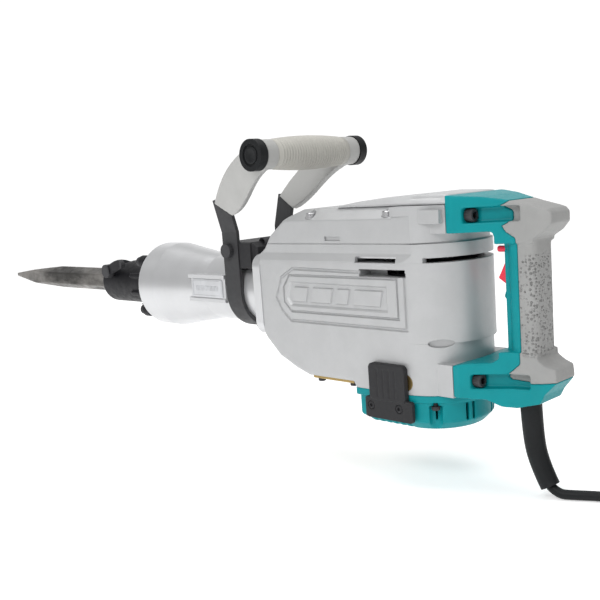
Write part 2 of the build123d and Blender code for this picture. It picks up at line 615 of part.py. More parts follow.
COVER_WELLS, WELL_R = [(240, -46.5), (240, 46.5)], 6.5
with BuildPart() as motor_end_cover:
    add(body_prism(END_Z, BASE_Z - 7, inset=3.5, front=144.5, rear=HALF - 3))
    chamfer(motor_end_cover.faces().sort_by(Axis.Z)[0].edges(), 9)
    fillet(motor_end_cover.edges().filter_by_position(Axis.Z, END_Z - 1, BASE_Z - 8), 4)
    add(body_prism(BASE_Z - 8, BASE_Z, inset=1, front=145.5, rear=HALF - 4))
    add(ring_z(MOTOR_X, -116, BASE_Z + 1, 47), mode=Mode.SUBTRACT)
    # Air slots: upright ones at the rear corners and slanting ones underneath
    for angle in (-25, -17, 17, 25):
        with Locations(Location((MOTOR_X, 0, -108), (0, 0, angle))):
            with Locations((52, 0, 0)):
                Box(16, 3.2, 18, mode=Mode.SUBTRACT)
    with BuildPart(mode=Mode.PRIVATE) as slots:
        for x in range(166, 240, 9):
            with Locations(Location((FACE + x, 0, END_Z), (0, 0, -30))):
                Box(3.2, 130, 12)
        add(body_prism(END_Z - 7, END_Z + 7, inset=6.5, front=144.5, rear=HALF - 3), mode=Mode.INTERSECT)
    add(slots.part, mode=Mode.SUBTRACT)
    add(ring_z(MOTOR_X, END_Z, -104, 20))
    add(ring_z(MOTOR_X, -114, -103, 13), mode=Mode.SUBTRACT)
    add(ring_z(MOTOR_X, -116, -113, 7), mode=Mode.SUBTRACT)
    # Screw wells at the sides
    for x, y in COVER_WELLS:
        with Locations((FACE + x, y, -100)):
            Cylinder(WELL_R, 30, align=(Align.CENTER, Align.CENTER, Align.MAX), mode=Mode.SUBTRACT)
            Cylinder(2.1, 8, align=(Align.CENTER, Align.CENTER, Align.MIN), mode=Mode.SUBTRACT)
write(motor_end_cover, "motor_end_cover")

bottom_screw = screw(4.2, 4, 2.1, 7, 4)
screws("bottom_screws", bottom_screw,
       [(FACE + x, y, -87) for x, y in OIL_SCREWS] + [(FACE + x, y, -100) for x, y in COVER_WELLS], (0, 0, -1))

for name, sign in (("brush_cover_left", -1), ("brush_cover_right", 1)):
    with BuildPart() as brush_cover:
        with BuildSketch(Plane.XZ.offset(HALF + 0.1)):
            with Locations((FACE + 194, -78)):
                RectangleRounded(46, 38, 5)
        extrude(amount=6.5)
        with BuildSketch(Plane.XZ.offset(HALF + 0.1)):
            with Locations((FACE + 193.5, -106)):
                RectangleRounded(61, 22, 3)
        extrude(amount=4.5)
        for x in (180, 187.5, 195, 202.5):
            with BuildSketch(Plane.XZ.offset(HALF + 6)):
                with Locations((FACE + x + 2, -79)):
                    Rectangle(2.2, 29)
            extrude(amount=2, mode=Mode.SUBTRACT)
        for x in (171, 207):
            add(rod_y(FACE + x, -104, 2.2, -HALF - 20, -HALF + 1), mode=Mode.SUBTRACT)
            add(rod_y(FACE + x, -104, 4.4, -HALF - 20, -HALF - 2.6), mode=Mode.SUBTRACT)
        if sign > 0:
            mirror(about=Plane.XZ, mode=Mode.REPLACE)
    write(brush_cover, name)

screws("brush_cover_screws", screw(4.0, 2, 2.1, 5.5, 3.5),
       [(FACE + x, -HALF - 2.6, -104) for x in (171, 207)], (0, -1, 0))

# ---------------------------------------------------------------- cord

EXIT = (FACE + 336, 0, -176.5)
GUARD_ROUTE, GUARD_R = [(FACE + 318, 0, -86), (FACE + 319, 0, -125), (FACE + 324.5, 0, -155), EXIT], 10.5
CORD_FLOOR = GROUND_Z + CORD_D / 2
CORD_ROUTE = [EXIT, (FACE + 343.7, 0, CORD_FLOOR), (FACE + 357, 5.5, CORD_FLOOR), (FACE + 377, 16, CORD_FLOOR),
              (FACE + 405, 24, CORD_FLOOR), (COIL_X, COIL_Y - TURNS_R[0], CORD_FLOOR)]


def route_radii(route):
    """The largest even arc at each corner of a route."""
    points, radii = [Vector(p) for p in route], []
    for a, b, c in zip(points, points[1:], points[2:]):
        turn = (b - a).get_angle(c - b)
        radii.append(0.45 * min((b - a).length, (c - b).length) / tan(radians(turn / 2)))
    return radii


def swept(route, radius):
    """A round bar along a route of straight runs joined by tangent arcs."""
    with BuildPart(mode=Mode.PRIVATE) as bar:
        with BuildLine() as path:
            FilletPolyline(*route, radius=route_radii(route))
        with BuildSketch(path.line ^ 0):
            Circle(radius)
        sweep()
    return bar.part, sum(edge.length for edge in path.edges())


with BuildPart() as cord_guard:
    add(swept(GUARD_ROUTE, GUARD_R)[0])
write(cord_guard, "cord_guard")

cord_solid, cord_run = swept(CORD_ROUTE, CORD_D / 2)
print("cord arcs", [round(r, 1) for r in route_radii(CORD_ROUTE)], "length", round(cord_run, 1),
      "volume over section times length", round(cord_solid.volume / (pi * CORD_D**2 / 4 * cord_run), 4))
with BuildPart() as cord:
    add(cord_solid)
write(cord, "cord")

with BuildPart() as cord_coil:
    with BuildSketch(Plane.XY.offset(GROUND_Z)):
        with Locations((COIL_X, COIL_Y)):
            Circle(TURNS_R[0] + CORD_D / 2)
            Circle(TURNS_R[-1] - CORD_D / 2, mode=Mode.SUBTRACT)
    extrude(amount=2 * CORD_D)
write(cord_coil, "cord_coil")

TAIL_X, TAIL_Z, PLUG_Y = COIL_X + TURNS_R[0], GROUND_Z + 1.5 * CORD_D, COIL_Y + 40
with BuildPart() as cord_tail:
    with Locations(Plane(origin=(TAIL_X, COIL_Y + 12, TAIL_Z), z_dir=(0, 1, 0))):
        Cylinder(CORD_D / 2, PLUG_Y - COIL_Y - 12, align=(Align.CENTER, Align.CENTER, Align.MIN))
write(cord_tail, "cord_tail")

with BuildPart() as plug:
    with BuildSketch(Plane(origin=(TAIL_X, PLUG_Y, TAIL_Z), z_dir=(0, 1, 0))):
        Circle(7)
    with BuildSketch(Plane(origin=(TAIL_X, PLUG_Y + 24, TAIL_Z), z_dir=(0, 1, 0))):
        Circle(9)
    loft()
    with BuildSketch(Plane(origin=(TAIL_X, PLUG_Y + 24, TAIL_Z), z_dir=(0, 1, 0))):
        RectangleRounded(28.4, 36, 10)
    extrude(amount=34)
    for x in (-9.5, 9.5):
        with Locations(Plane(origin=(TAIL_X + x, PLUG_Y + 57, TAIL_Z), z_dir=(0, 1, 0))):
            Cylinder(2.4, 20, align=(Align.CENTER, Align.CENTER, Align.MIN))
write(plug, "plug")

# ---------------------------------------------------------------- rear handle

HANDLE_SIDE = [(263, 70), (263, 106), (292, 103), (315, 98.5), (352, 89), (356, 85), (356, 76), (348, 68), (338, 62),
               (338, -50), (345, -55), (355, -58), (356, -70), (344, -83), (339, -92), (316, -98), (304, -97),
               (291, -90), (263, -88), (263, -57), (275, -54.5), (297, -54), (302.5, -50), (302.5, 66),
               (301, 69.5), (297, 70)]
GREY_SIDE = [(321, 100), (307, 93), (315, 88), (315, 78), (309, 75), (312, 69), (321, 63), (321, -55), (312, -63),
             (306, -68.5), (309, -72), (326, -74), (360, -70), (360, 100)]
TAPER = [(263, BRACKET_HALF), (270, BRACKET_HALF), (296, 33), (312, 24), (330, 20), (345, 20), (357, 17)]
POCKET_FLOOR = [(263, 27), (290, 27), (312, 15), (330, 11), (357, 8)]
POCKETS = [(278, 326, 79, 93), (279, 330, -79, -65.5)]


def from_above(outline):
    """A tall block with a plan outline, the same on both sides of the XZ plane."""
    with BuildPart(mode=Mode.PRIVATE) as solid:
        with BuildSketch(Plane.XY.offset(END_Z)):
            with BuildLine():
                Polyline(*[(FACE + x, y) for x, y in outline], *[(FACE + x, -y) for x, y in outline[::-1]], close=True)
            make_face()
        extrude(amount=260)
    return solid.part


def handle_solid():
    """The whole D-handle: its side view cut to its plan, with a slim rounded grip."""
    with BuildPart(mode=Mode.PRIVATE) as whole:
        add(slab(HANDLE_SIDE, BRACKET_HALF))
        add(from_above(TAPER), mode=Mode.INTERSECT)
        add(block(301, 340, BRACKET_HALF, -44, 58), mode=Mode.SUBTRACT)
        add(block(302.5, 309, 12, -54, 68))
        with BuildSketch(Plane.XY.offset(-62)):
            with Locations(((GRIP_X0 + GRIP_X1) / 2, 0)):
                RectangleRounded(GRIP_X1 - GRIP_X0, 2 * GRIP_HALF, 9)
        extrude(amount=132)
        for x0, x1, z0, z1 in POCKETS:
            add(block(x0, x1, 60, z0, z1) - from_above(POCKET_FLOOR), mode=Mode.SUBTRACT)
        for y in (-BRACKET_BOLT_Y, BRACKET_BOLT_Y):
            for z in (86, -72):
                with Locations(Plane(origin=(BRACKET_X, y, z), z_dir=(1, 0, 0))):
                    Cylinder(4, 36, mode=Mode.SUBTRACT)
        # The brackets fit round the body's rear
        add(body_prism(-130, -50, rear=HALF - 4) + body_prism(60, ROOF_Z, rear=HALF - 4), mode=Mode.SUBTRACT)
        # Room for the switch and the cable
        add(block(311, 334, 10, -30, 52), mode=Mode.SUBTRACT)
        add(block(318, 330, 6, -90, -29), mode=Mode.SUBTRACT)
    return whole.part


with BuildPart() as handle_frame:
    add(handle_solid())
    add(slab(GREY_SIDE, 60), mode=Mode.SUBTRACT)
    add(block(301, 312, 6.5, 14.5, 43.5), mode=Mode.SUBTRACT)
    add(slab([(298, 6), (299.5, 11), (303.5, 14), (303.5, 0)], 8))
    with Locations(Plane(origin=(FACE + 300, -8.5, 52), z_dir=(1, 0, 0))):
        Cylinder(3.2, 36, mode=Mode.SUBTRACT)
    add(cord_guard.part, mode=Mode.SUBTRACT)
write(handle_frame, "handle_frame")

with BuildPart() as handle_cover:
    add(handle_solid())
    add(slab(GREY_SIDE, 60), mode=Mode.INTERSECT)
write(handle_cover, "handle_cover")

screws("handle_bolts", screw(6.3, 8, 3.9, 26, 6),
       [(FACE + x, y, z) for x, z in ((279, 86), (280, -72)) for y in (-BRACKET_BOLT_Y, BRACKET_BOLT_Y)], (1, 0, 0))

with BuildPart() as switch_body:
    add(block(319, 333, 9, -10, 45))
write(switch_body, "switch_body")

with BuildPart() as trigger:
    add(slab([(301, 42), (291.5, 23.5), (299, 18.5), (306, 18.5), (313, 21), (317, 42)], 6))
    add(rod_y(TRIGGER_X, TRIGGER_Z, 3, -9.5, 9.5))
write(trigger, "trigger")

with BuildPart() as lock_button:
    with Locations(Plane(origin=(FACE + 294.5, -8.5, 52), z_dir=(1, 0, 0))):
        Cylinder(3, 18.5, align=(Align.CENTER, Align.CENTER, Align.MIN))
    fillet(lock_button.edges().sort_by(Axis.X)[0], 1.2)
write(lock_button, "lock_button")

# ---------------------------------------------------------------- side handle

TAB_Z = BEND_Z + 39.0  # the tabs at the band's ends lean outwards
TAB_Y = BAND_Y + (TAB_Z - BEND_Z) * tan(radians(SPLAY))

with BuildPart() as side_band:
    with BuildSketch(Plane.YZ.offset(BAND_X)):
        with BuildLine():
            Polyline((TAB_Y, TAB_Z), (BAND_Y, BEND_Z), (BAND_Y, 0))
            CenterArc((0, 0), BAND_Y, 0, -180)
            Polyline((-BAND_Y, 0), (-BAND_Y, BEND_Z), (-TAB_Y, TAB_Z))
        trace(line_width=BAND_T)
    extrude(amount=BAND_W)
    add(rod_y(BOLT_X, BOLT_Z, 5, -60, 60), mode=Mode.SUBTRACT)
write(side_band, "side_band")

with BuildPart() as clamp_block:
    add(slab([(-65, 61), (-18, 61), (-9, 55), (-9, 47), (-20, 36), (-39, 28), (-65, 28)], BAND_Y - BAND_T / 2))
    add(both_sides(block(-38.5, -18, 45, 30, 60) - block(-39, -17, 41, 20, 70)))
    add(tube_x(-70, 0, NECK_R + 0.5, 0.5) + turned_x([(-70, 0), (-70, 1), (0, 1), (0, 0)]), mode=Mode.SUBTRACT)
    add(rod_y(BOLT_X, BOLT_Z, 5, -60, 60), mode=Mode.SUBTRACT)
write(clamp_block, "clamp_block")

with BuildPart() as clamp_bolt:
    add(rod_y(BOLT_X, BOLT_Z, 4.95, -BAND_Y - BAND_T / 2, BAND_Y + 12))
    add(rod_y(BOLT_X, BOLT_Z, 8.5, -BAND_Y - BAND_T / 2 - 6, -BAND_Y - BAND_T / 2))
    with BuildSketch(Plane.XZ.offset(-BAND_Y - BAND_T / 2)):
        with Locations((BOLT_X, BOLT_Z)):
            RegularPolygon(8.5, 6, major_radius=False)
    extrude(amount=-8)
write(clamp_bolt, "clamp_bolt")

SLEEVE_FRONT = [(-61.4, 108.8), (-44, 129), (-20, 149), (8, 164), (32, 173)]
SLEEVE_BACK = [(44, 144), (30, 138), (12, 126), (-8, 109), (-35.6, 93.6)]
with BuildPart() as handle_sleeves:
    plane = Plane(origin=(0, BAND_Y, BEND_Z), x_dir=(1, 0, 0), z_dir=(0, -cos(radians(SPLAY)), sin(radians(SPLAY))))
    with BuildSketch(plane):
        with BuildLine():
            lean = 1 / cos(radians(SPLAY))
            front = Spline(*[(FACE + x, (z - BEND_Z) * lean) for x, z in SLEEVE_FRONT])
            back = Spline(*[(FACE + x, (z - BEND_Z) * lean) for x, z in SLEEVE_BACK])
            Line(front @ 1, back @ 0)
            Line(back @ 1, front @ 0)
        make_face()
    extrude(amount=4.2, both=True)
    add(rod_y(SIDE_GRIP_X, SIDE_GRIP_Z, 16.5, RIBBED_HALF + 0.2, SIDE_GRIP_HALF))
    mirror(about=Plane.XZ)
    add(side_band.part, mode=Mode.SUBTRACT)
    add(rod_y(SIDE_GRIP_X, SIDE_GRIP_Z, 13, -80, 80), mode=Mode.SUBTRACT)
write(handle_sleeves, "handle_sleeves")

with BuildPart() as side_grip:
    with BuildSketch(Plane.XY.offset(SIDE_GRIP_Z)):
        with BuildLine():
            Polyline((SIDE_GRIP_X + 16.5, -RIBBED_HALF), (SIDE_GRIP_X + 13, -RIBBED_HALF),
                     (SIDE_GRIP_X + 13, -SIDE_GRIP_HALF), (SIDE_GRIP_X, -SIDE_GRIP_HALF), (SIDE_GRIP_X, SIDE_GRIP_HALF),
                     (SIDE_GRIP_X + 13, SIDE_GRIP_HALF), (SIDE_GRIP_X + 13, RIBBED_HALF), (SIDE_GRIP_X + 16.5, RIBBED_HALF))
            ThreePointArc((SIDE_GRIP_X + 16.5, RIBBED_HALF), (SIDE_GRIP_X + 19.5, 0), (SIDE_GRIP_X + 16.5, -RIBBED_HALF))
        make_face()
    revolve(axis=Axis((SIDE_GRIP_X, 0, SIDE_GRIP_Z), (0, 1, 0)))
write(side_grip, "side_grip")

with BuildPart() as grip_caps:
    add(both_sides(rod_y(SIDE_GRIP_X, SIDE_GRIP_Z, 17.5, SIDE_GRIP_HALF, SIDE_GRIP_HALF + 11)
                   - rod_y(SIDE_GRIP_X, SIDE_GRIP_Z, 12, SIDE_GRIP_HALF + 9.5, SIDE_GRIP_HALF + 12)))
write(grip_caps, "grip_caps")
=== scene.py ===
"""The looks of an electric demolition breaker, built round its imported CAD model. Everything is in metres."""

import json
import math

import bpy
from mathutils import Matrix, Vector


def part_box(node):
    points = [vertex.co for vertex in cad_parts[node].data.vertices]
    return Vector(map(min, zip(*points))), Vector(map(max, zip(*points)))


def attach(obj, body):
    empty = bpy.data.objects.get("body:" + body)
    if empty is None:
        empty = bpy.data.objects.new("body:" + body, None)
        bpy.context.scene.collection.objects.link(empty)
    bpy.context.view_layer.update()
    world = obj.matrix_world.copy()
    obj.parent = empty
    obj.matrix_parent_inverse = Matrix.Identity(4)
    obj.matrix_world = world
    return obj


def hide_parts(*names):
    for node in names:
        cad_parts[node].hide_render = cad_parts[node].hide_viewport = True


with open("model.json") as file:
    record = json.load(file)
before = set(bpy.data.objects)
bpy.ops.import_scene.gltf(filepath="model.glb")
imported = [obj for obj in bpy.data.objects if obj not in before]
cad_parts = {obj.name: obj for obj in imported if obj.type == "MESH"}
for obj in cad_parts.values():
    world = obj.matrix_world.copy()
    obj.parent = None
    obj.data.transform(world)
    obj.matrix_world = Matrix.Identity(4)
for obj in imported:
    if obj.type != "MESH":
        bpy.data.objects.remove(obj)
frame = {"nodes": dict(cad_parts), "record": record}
NODES = frame["nodes"]
SLOT_OF = {row["node"]: row["material_slot"] for row in frame["record"]["subparts"]}
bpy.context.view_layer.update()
MM = 0.001

# ---------------------------------------------------------------- places, read from the frame

FLANGE_T = 12 * MM
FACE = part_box("barrel")[1].x - FLANGE_T  # front of the barrel's flange
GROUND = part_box("cord_coil")[0].z


def station(x, y=0.0, z=0.0):
    """A point from its station behind the flange's front, in millimetres."""
    return Vector((FACE + x * MM, y * MM, z * MM))


# ---------------------------------------------------------------- camera, light and floor

SKY, FLOOR_GLOW, BACKDROP_GLOW, WALL_GLOW = 0.34, 0.4, 1.05, 0.3
BACKDROP_ANGLE, BACKDROP_HALF = 135, 58  # the white part of the wall, in degrees round from +X


def make_camera():
    """The camera stands behind the tool on its left, a little above it, and rolls slightly."""
    azimuth, elevation, roll = math.radians(45.5), math.radians(7.9), math.radians(-4.1)
    back = Vector((math.sin(azimuth) * math.cos(elevation), -math.cos(azimuth) * math.cos(elevation),
                   math.sin(elevation)))
    level = Vector((math.cos(azimuth), math.sin(azimuth), 0))
    upright = back.cross(level)
    right = level * math.cos(roll) + upright * math.sin(roll)
    up = upright * math.cos(roll) - level * math.sin(roll)
    data = bpy.data.cameras.new("camera")
    data.lens, data.sensor_width = 54, 36
    camera = bpy.data.objects.new("camera", data)
    bpy.context.scene.collection.objects.link(camera)
    turn = Matrix((right, up, back)).transposed()
    camera.matrix_world = Matrix.Translation(station(767, -741, 134.5)) @ turn.to_4x4()
    bpy.context.scene.camera = camera


def area_light(name, place, target, size, power, colour=(1, 1, 1)):
    data = bpy.data.lights.new(name, "AREA")
    data.shape, data.size, data.size_y = "RECTANGLE", size[0], size[1]
    data.energy, data.color = power, colour
    light = bpy.data.objects.new(name, data)
    light.location = place
    light.rotation_mode = "QUATERNION"
    light.rotation_quaternion = (Vector(target) - Vector(place)).to_track_quat("-Z", "Y")
    bpy.context.scene.collection.objects.link(light)


def plain_material(name, colour, roughness=0.9, glow=0.0):
    """A flat colour for what isn't part of the object."""
    material = bpy.data.materials.new(name)
    material.use_nodes = True
    shader = material.node_tree.nodes["Principled BSDF"]
    shader.inputs["Base Color"].default_value = (colour, colour, colour, 1)
    shader.inputs["Roughness"].default_value = roughness
    shader.inputs["Emission Color"].default_value = (1, 1, 1, 1)
    shader.inputs["Emission Strength"].default_value = glow
    return material


def stage_mesh(name, points, faces, material):
    mesh = bpy.data.meshes.new(name)
    mesh.from_pydata(points, [], faces)
    mesh.materials.append(material)
    staged = bpy.data.objects.new(name, mesh)
    bpy.context.scene.collection.objects.link(staged)


def make_studio():
    """A white floor inside a round wall, white behind the tool, under a grey sky with three soft lamps."""
    world = bpy.data.worlds.new("studio")
    bpy.context.scene.world = world
    world.use_nodes = True
    background = world.node_tree.nodes["Background"]
    background.inputs["Color"].default_value = (1, 1, 1, 1)
    background.inputs["Strength"].default_value = SKY
    middle = station(0)
    area_light("key", middle + Vector((0.5, -2.0, 1.5)), middle, (1.5, 1.1), 30)
    area_light("rear", middle + Vector((2.2, -0.2, 0.9)), middle, (1.0, 0.8), 3)
    area_light("top", middle + Vector((-0.1, 0.2, 2.4)), middle, (2.6, 2.0), 44)
    bpy.context.scene.view_settings.view_transform = "Standard"
    wall_r, wall_top, sides = 5.0, 2.6, 64
    turns = [2 * math.pi * i / sides for i in range(sides)]
    ring = [(middle.x + wall_r * math.cos(turn), wall_r * math.sin(turn)) for turn in turns]
    floor_points = [(x, y, GROUND) for x, y in ring]
    stage_mesh("floor", floor_points, [tuple(range(sides))], plain_material("floor", 0.9, glow=FLOOR_GLOW))
    wall = floor_points + [(x, y, wall_top) for x, y in ring]
    panels = [(i, (i + 1) % sides, sides + (i + 1) % sides, sides + i) for i in range(sides)]
    behind = [p for i, p in enumerate(panels) if abs(360 * i / sides - BACKDROP_ANGLE) < BACKDROP_HALF]
    around = [p for p in panels if p not in behind]
    stage_mesh("backdrop", wall, behind, plain_material("backdrop", 0.0, glow=BACKDROP_GLOW))
    stage_mesh("side_wall", wall, around, plain_material("side_wall", 0.0, glow=WALL_GLOW))


make_camera()
make_studio()

# ---------------------------------------------------------------- materials


EDGE_R = 0.7 * MM  # how far every edge's gloss is rounded


class Shade:
    """A node material under construction, with its own Principled shader."""

    def __init__(self, name, colour, roughness, metallic=0.0, **values):
        self.material = bpy.data.materials.new(name)
        self.material.use_nodes = True
        self.tree = self.material.node_tree
        self.shader = self.tree.nodes["Principled BSDF"]
        self.colour = (*colour, 1)
        self.shader.inputs["Base Color"].default_value = self.colour
        self.shader.inputs["Roughness"].default_value = roughness
        self.shader.inputs["Metallic"].default_value = metallic
        for socket, value in values.items():
            self.shader.inputs[socket.replace("_", " ")].default_value = value
        self.where = self.node("ShaderNodeTexCoord").outputs["Object"]
        round_edges = self.node("ShaderNodeBevel", samples=4)
        round_edges.inputs["Radius"].default_value = EDGE_R
        self.height = round_edges.outputs["Normal"]
        self.link(self.height, self.shader.inputs["Normal"])

    def node(self, kind, **settings):
        made = self.tree.nodes.new(kind)
        for key, value in settings.items():
            setattr(made, key, value)
        return made

    def link(self, output, socket):
        self.tree.links.new(output, socket)

    def noise(self, scale, detail=4.0, roughness=0.55, stretch=None):
        """Noise in the object's own frame, scale in cells per metre."""
        texture = self.node("ShaderNodeTexNoise")
        texture.inputs["Scale"].default_value = scale
        texture.inputs["Detail"].default_value = detail
        texture.inputs["Roughness"].default_value = roughness
        where = self.where
        if stretch:
            mapping = self.node("ShaderNodeMapping")
            mapping.inputs["Scale"].default_value = stretch
            self.link(where, mapping.inputs["Vector"])
            where = mapping.outputs["Vector"]
        self.link(where, texture.inputs["Vector"])
        return texture.outputs["Fac"]

    def spread(self, source, low, high, start=0.35, end=0.65):
        """Maps a 0 to 1 value onto a range."""
        remap = self.node("ShaderNodeMapRange")
        for socket, value in zip(("From Min", "From Max", "To Min", "To Max"), (start, end, low, high)):
            remap.inputs[socket].default_value = value
        self.link(source, remap.inputs["Value"])
        return remap.outputs["Result"]

    def tint(self, source, dark, light=1.0, start=0.35, end=0.65):
        """Darkens and lightens the base colour with a texture."""
        mix = self.node("ShaderNodeMix", data_type="RGBA")
        mix.inputs["A"].default_value = tuple(c * dark for c in self.colour[:3]) + (1,)
        mix.inputs["B"].default_value = tuple(min(1, c * light) for c in self.colour[:3]) + (1,)
        self.link(self.spread(source, 0, 1, start, end), mix.inputs["Factor"])
        self.link(mix.outputs["Result"], self.shader.inputs["Base Color"])
        return mix

    def rough(self, source, low, high, start=0.35, end=0.65):
        self.link(self.spread(source, low, high, start, end), self.shader.inputs["Roughness"])

    def bump(self, source, distance, strength=1.0):
        """Adds relief, its depth in metres."""
        relief = self.node("ShaderNodeBump")
        relief.inputs["Distance"].default_value = distance
        relief.inputs["Strength"].default_value = strength
        self.link(source, relief.inputs["Height"])
        self.link(self.height, relief.inputs["Normal"])
        self.height = relief.outputs["Normal"]
        self.link(self.height, self.shader.inputs["Normal"])


def worn_edges(shade, colour, amount=0.5):
    """Lighter wear where the surface is convex."""
    geometry = shade.node("ShaderNodeNewGeometry")
    edge = shade.spread(geometry.outputs["Pointiness"], 0, amount, 0.52, 0.6)
    mix = shade.node("ShaderNodeMix", data_type="RGBA")
    old = shade.shader.inputs["Base Color"]
    if old.is_linked:
        shade.link(old.links[0].from_socket, mix.inputs["A"])
    else:
        mix.inputs["A"].default_value = shade.colour
    mix.inputs["B"].default_value = (*colour, 1)
    shade.link(edge, mix.inputs["Factor"])
    shade.link(mix.outputs["Result"], old)


def cast_silver(name="cast_silver", colour=(0.46, 0.465, 0.47), grain=1.0):
    """Silver paint over a sand casting: fine grain, cloudy gloss."""
    shade = Shade(name, colour, 0.42, 0.35)
    shade.tint(shade.noise(45), 0.965, 1.015)
    shade.rough(shade.noise(260), 0.36, 0.46)
    shade.bump(shade.noise(1500, 3), 0.00009 * grain)
    shade.bump(shade.noise(110, 3), 0.00006 * grain)
    return shade.material


def barrel_aluminium():
    shade = Shade("barrel_aluminium", (0.60, 0.605, 0.615), 0.34, 0.6)
    shade.tint(shade.noise(30), 0.97, 1.02)
    shade.rough(shade.noise(9, stretch=(90, 1, 1)), 0.30, 0.38)
    shade.bump(shade.noise(9, 2, stretch=(120, 1, 1)), 0.000012)
    return shade.material


def moulded(name, colour, roughness=0.45, grain=0.00003, metallic=0.0, **values):
    """Moulded plastic or rubber with a fine texture."""
    shade = Shade(name, colour, roughness, metallic, **values)
    shade.tint(shade.noise(35), 0.95, 1.03)
    shade.rough(shade.noise(300), roughness - 0.05, roughness + 0.07)
    shade.bump(shade.noise(1900, 2), grain)
    return shade.material


def machined(name, colour, roughness=0.28, streak=(1, 1, 30)):
    shade = Shade(name, colour, roughness, 1.0)
    shade.tint(shade.noise(50), 0.9, 1.03)
    shade.rough(shade.noise(60, stretch=streak), roughness - 0.06, roughness + 0.1)
    return shade.material


def forged_steel():
    """Forged steel with patches of dark scale, brighter along its worn edges."""
    shade = Shade("chisel_steel", (0.17, 0.162, 0.152), 0.42, 0.8)
    shade.tint(shade.noise(28, 6, 0.65, (0.35, 1, 1)), 0.35, 1.5, 0.38, 0.62)
    shade.rough(shade.noise(90, 5), 0.34, 0.6)
    shade.bump(shade.noise(220, 5), 0.00016)
    worn_edges(shade, (0.42, 0.41, 0.39), 0.5)
    return shade.material


def blackened(name, colour=(0.014, 0.014, 0.016), roughness=0.42):
    shade = Shade(name, colour, roughness, 0.0, Specular_IOR_Level=0.2)
    shade.tint(shade.noise(80), 0.8, 1.25)
    shade.rough(shade.noise(150), roughness - 0.06, roughness + 0.12)
    shade.bump(shade.noise(900, 3), 0.00004)
    worn_edges(shade, (0.10, 0.10, 0.105), 0.4)
    return shade.material


def grip_rubber():
    """Grey rubber, with fine dimples where the hand closes round the rear grip; the dimples are also coloured
    darker, a painted shade in their hollows.
    """
    shade = Shade("grip_grey", (0.31, 0.31, 0.305), 0.6, 0.0, Specular_IOR_Level=0.35)
    shade.tint(shade.noise(35), 0.95, 1.04)
    shade.rough(shade.noise(300), 0.54, 0.68)
    shade.bump(shade.noise(1900, 2), 0.00005)
    cells = shade.node("ShaderNodeTexVoronoi", feature="F1")
    cells.inputs["Scale"].default_value = 330
    cells.inputs["Randomness"].default_value = 0.6
    shade.link(shade.where, cells.inputs["Vector"])
    dimples = shade.spread(cells.outputs["Distance"], 1, 0, 0.2, 0.46)
    places = shade.node("ShaderNodeSeparateXYZ")
    shade.link(shade.where, places.inputs["Vector"])
    inside = shade.spread(places.outputs["Z"], 0, 1, -0.050, -0.044)
    below_top = shade.spread(places.outputs["Z"], 1, 0, 0.044, 0.050)
    both = shade.node("ShaderNodeMath", operation="MULTIPLY")
    shade.link(inside, both.inputs[0])
    shade.link(below_top, both.inputs[1])
    masked = shade.node("ShaderNodeMath", operation="MULTIPLY")
    shade.link(dimples, masked.inputs[0])
    shade.link(both.outputs["Value"], masked.inputs[1])
    shade.bump(masked.outputs["Value"], 0.0012)
    # painted shade: the dimples' hollows are coloured darker grey along the same mask as their bump
    dimple_painted_shade = shade.node("ShaderNodeMix", data_type="RGBA")
    base = shade.shader.inputs["Base Color"]
    shade.link(base.links[0].from_socket, dimple_painted_shade.inputs["A"])
    dimple_painted_shade.inputs["B"].default_value = (0.21, 0.21, 0.205, 1)
    shade.link(masked.outputs["Value"], dimple_painted_shade.inputs["Factor"])
    shade.link(dimple_painted_shade.outputs["Result"], base)
    return shade.material


MATERIALS = {
    "cast_silver": cast_silver(),
    "fairing_grey": cast_silver("fairing_grey", (0.50, 0.505, 0.51), 0.6),
    "bare_aluminium": machined("bare_aluminium", (0.72, 0.73, 0.74), 0.32),
    "barrel_aluminium": barrel_aluminium(),
    "label_metal": machined("label_metal", (0.70, 0.71, 0.73), 0.34, (30, 1, 1)),
    "black_steel": blackened("black_steel"),
    "black_steel_band": blackened("black_steel_band", (0.009, 0.0095, 0.010), 0.5),
    "black_cast": blackened("black_cast", (0.010, 0.010, 0.012), 0.45),
    "black_rubber": moulded("black_rubber", (0.007, 0.008, 0.009), 0.5, 0.00004, Specular_IOR_Level=0.25),
    "steel": machined("steel", (0.52, 0.52, 0.53)),
    "core_steel": machined("core_steel", (0.30, 0.31, 0.33), 0.4, (1, 1, 80)),
    "chisel_steel": forged_steel(),
    "copper": machined("copper", (0.62, 0.26, 0.12), 0.35),
    "brass": machined("brass", (0.42, 0.30, 0.12), 0.38),
    "carbon": moulded("carbon", (0.03, 0.03, 0.03), 0.6),
    "teal_plastic": moulded("teal_plastic", (0.0, 0.25, 0.275), 0.42, Specular_IOR_Level=0.2),
    "grip_grey": grip_rubber(),
    "dark_plastic": moulded("dark_plastic", (0.02, 0.02, 0.022), 0.55, 0.00004, Specular_IOR_Level=0.3),
    "red_plastic": moulded("red_plastic", (0.80, 0.025, 0.06), 0.32, 0.00001),
    "light_plastic": moulded("light_plastic", (0.40, 0.40, 0.39), 0.5, 0.00003),
    "light_rubber": moulded("light_rubber", (0.43, 0.42, 0.385), 0.62, 0.00003),
}

# ---------------------------------------------------------------- finish on the CAD nodes

# Moulded or forged nodes: voxel size in millimetres, rounds of smoothing, share of the faces kept
MELTED = {"handle_frame": (0.9, 9, 0.4), "handle_cover": (0.9, 14, 0.4), "top_fairing": (1.0, 6, 0.3),
          "motor_end_cover": (0.9, 3, 0.4), "clamp_block": (1.0, 5, 0.4), "brush_cover_left": (0.6, 3, 0.4),
          "brush_cover_right": (0.6, 3, 0.4), "front_cover": (0.9, 4, 0.4), "handle_sleeves": (0.9, 5, 0.4),
          "trigger": (0.6, 5, 0.5), "chisel": (1.1, 4, 0.3), "plug": (0.7, 4, 0.4)}


